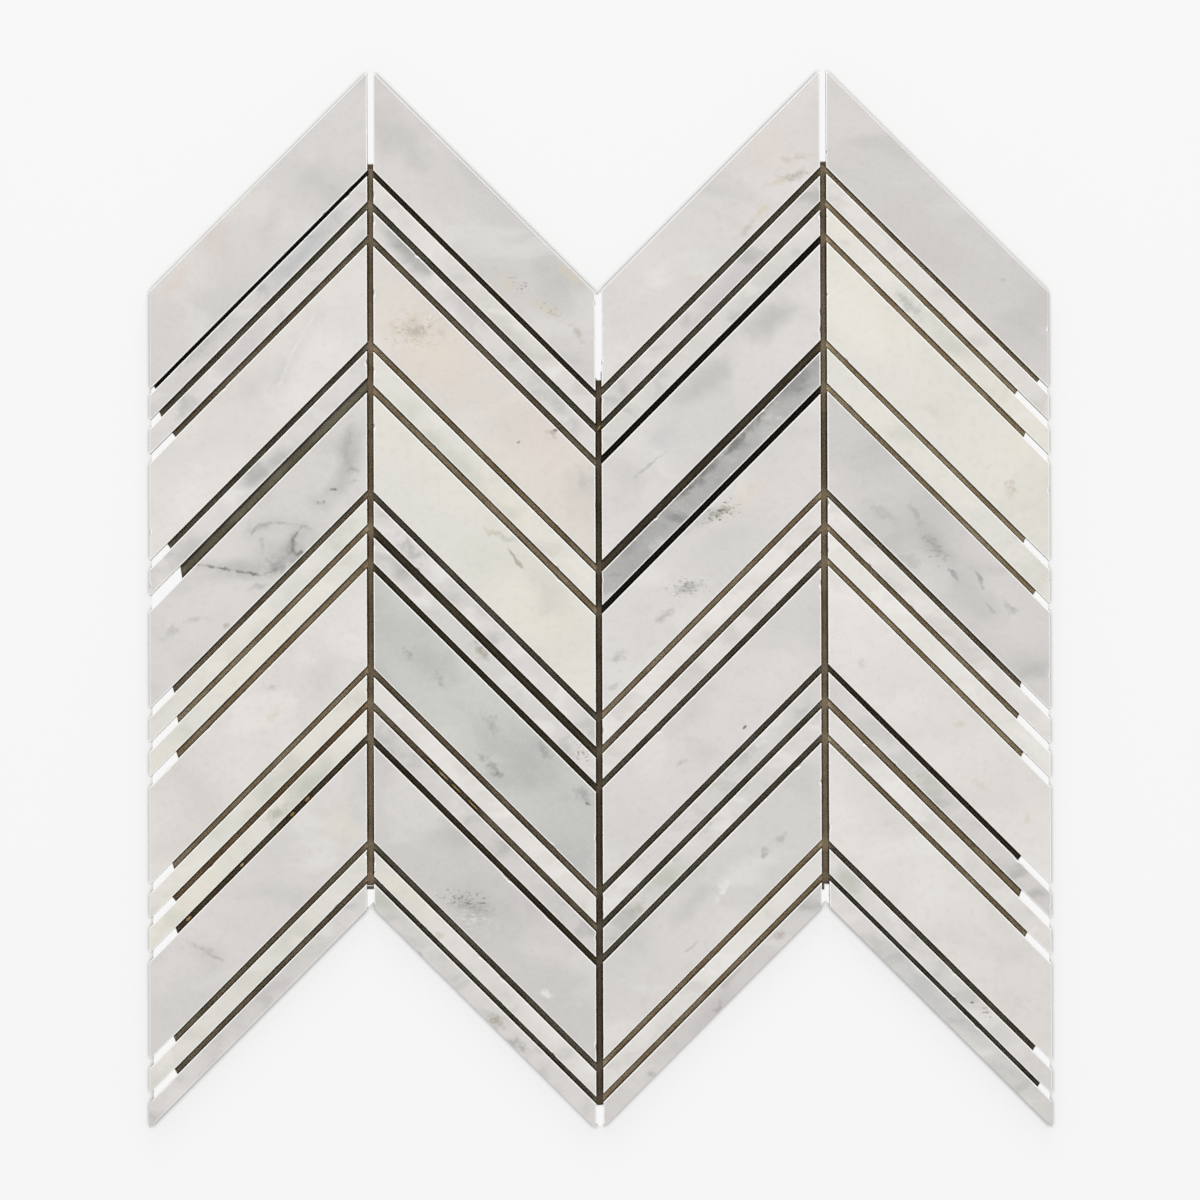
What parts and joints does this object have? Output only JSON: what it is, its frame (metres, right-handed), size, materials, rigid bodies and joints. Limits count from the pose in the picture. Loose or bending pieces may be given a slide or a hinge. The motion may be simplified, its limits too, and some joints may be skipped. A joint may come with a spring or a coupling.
{
  "type": "marble mosaic tile",
  "caption": "Interlocking chevron mosaic sheet of wide and slim polished marble bars on an adhesive-soaked mesh backing, for walls and floors.",
  "frame": {"origin": "middle of the sheet's bounding box, on the underside of the backing", "axes": "+X across the sheet, +Y towards its pointed top edge, +Z out of the polished face"},
  "size_m": [0.3026, 0.3548, 0.01],
  "materials": {
    "marble": "polished",
    "backing": "matt, adhesive-soaked"
  },
  "bodies": {
    "root": {"column_1_row_01_wide_bar": "marble", "column_1_row_02_slim_bar": "marble", "column_1_row_03_slim_bar": "marble", "column_1_row_04_wide_bar": "marble", "column_1_row_05_strip": "marble", "column_1_row_06_wide_bar": "marble", "column_1_row_07_slim_bar": "marble", "column_1_row_08_slim_bar": "marble", "column_1_row_09_wide_bar": "marble", "column_1_row_10_slim_bar": "marble", "column_1_row_11_slim_bar": "marble", "column_1_row_12_wide_bar": "marble", "column_1_row_13_slim_bar": "marble", "column_1_row_14_slim_bar": "marble", "column_2_row_01_wide_bar": "marble", "column_2_row_02_slim_bar": "marble", "column_2_row_03_slim_bar": "marble", "column_2_row_04_wide_bar": "marble", "column_2_row_05_strip": "marble", "column_2_row_06_wide_bar": "marble", "column_2_row_07_slim_bar": "marble", "column_2_row_08_slim_bar": "marble", "column_2_row_09_wide_bar": "marble", "column_2_row_10_slim_bar": "marble", "column_2_row_11_slim_bar": "marble", "column_2_row_12_wide_bar": "marble", "column_2_row_13_slim_bar": "marble", "column_2_row_14_slim_bar": "marble", "column_3_row_01_wide_bar": "marble", "column_3_row_02_slim_bar": "marble", "column_3_row_03_slim_bar": "marble", "column_3_row_04_wide_bar": "marble", "column_3_row_05_strip": "marble", "column_3_row_06_wide_bar": "marble", "column_3_row_07_slim_bar": "marble", "column_3_row_08_slim_bar": "marble", "column_3_row_09_wide_bar": "marble", "column_3_row_10_slim_bar": "marble", "column_3_row_11_slim_bar": "marble", "column_3_row_12_wide_bar": "marble", "column_3_row_13_slim_bar": "marble", "column_3_row_14_slim_bar": "marble", "column_4_row_01_wide_bar": "marble", "column_4_row_02_slim_bar": "marble", "column_4_row_03_slim_bar": "marble", "column_4_row_04_wide_bar": "marble", "column_4_row_05_strip": "marble", "column_4_row_06_wide_bar": "marble", "column_4_row_07_slim_bar": "marble", "column_4_row_08_slim_bar": "marble", "column_4_row_09_wide_bar": "marble", "column_4_row_10_slim_bar": "marble", "column_4_row_11_slim_bar": "marble", "column_4_row_12_wide_bar": "marble", "column_4_row_13_slim_bar": "marble", "column_4_row_14_slim_bar": "marble", "mesh_backing": "backing"}
  },
  "joints": []
}
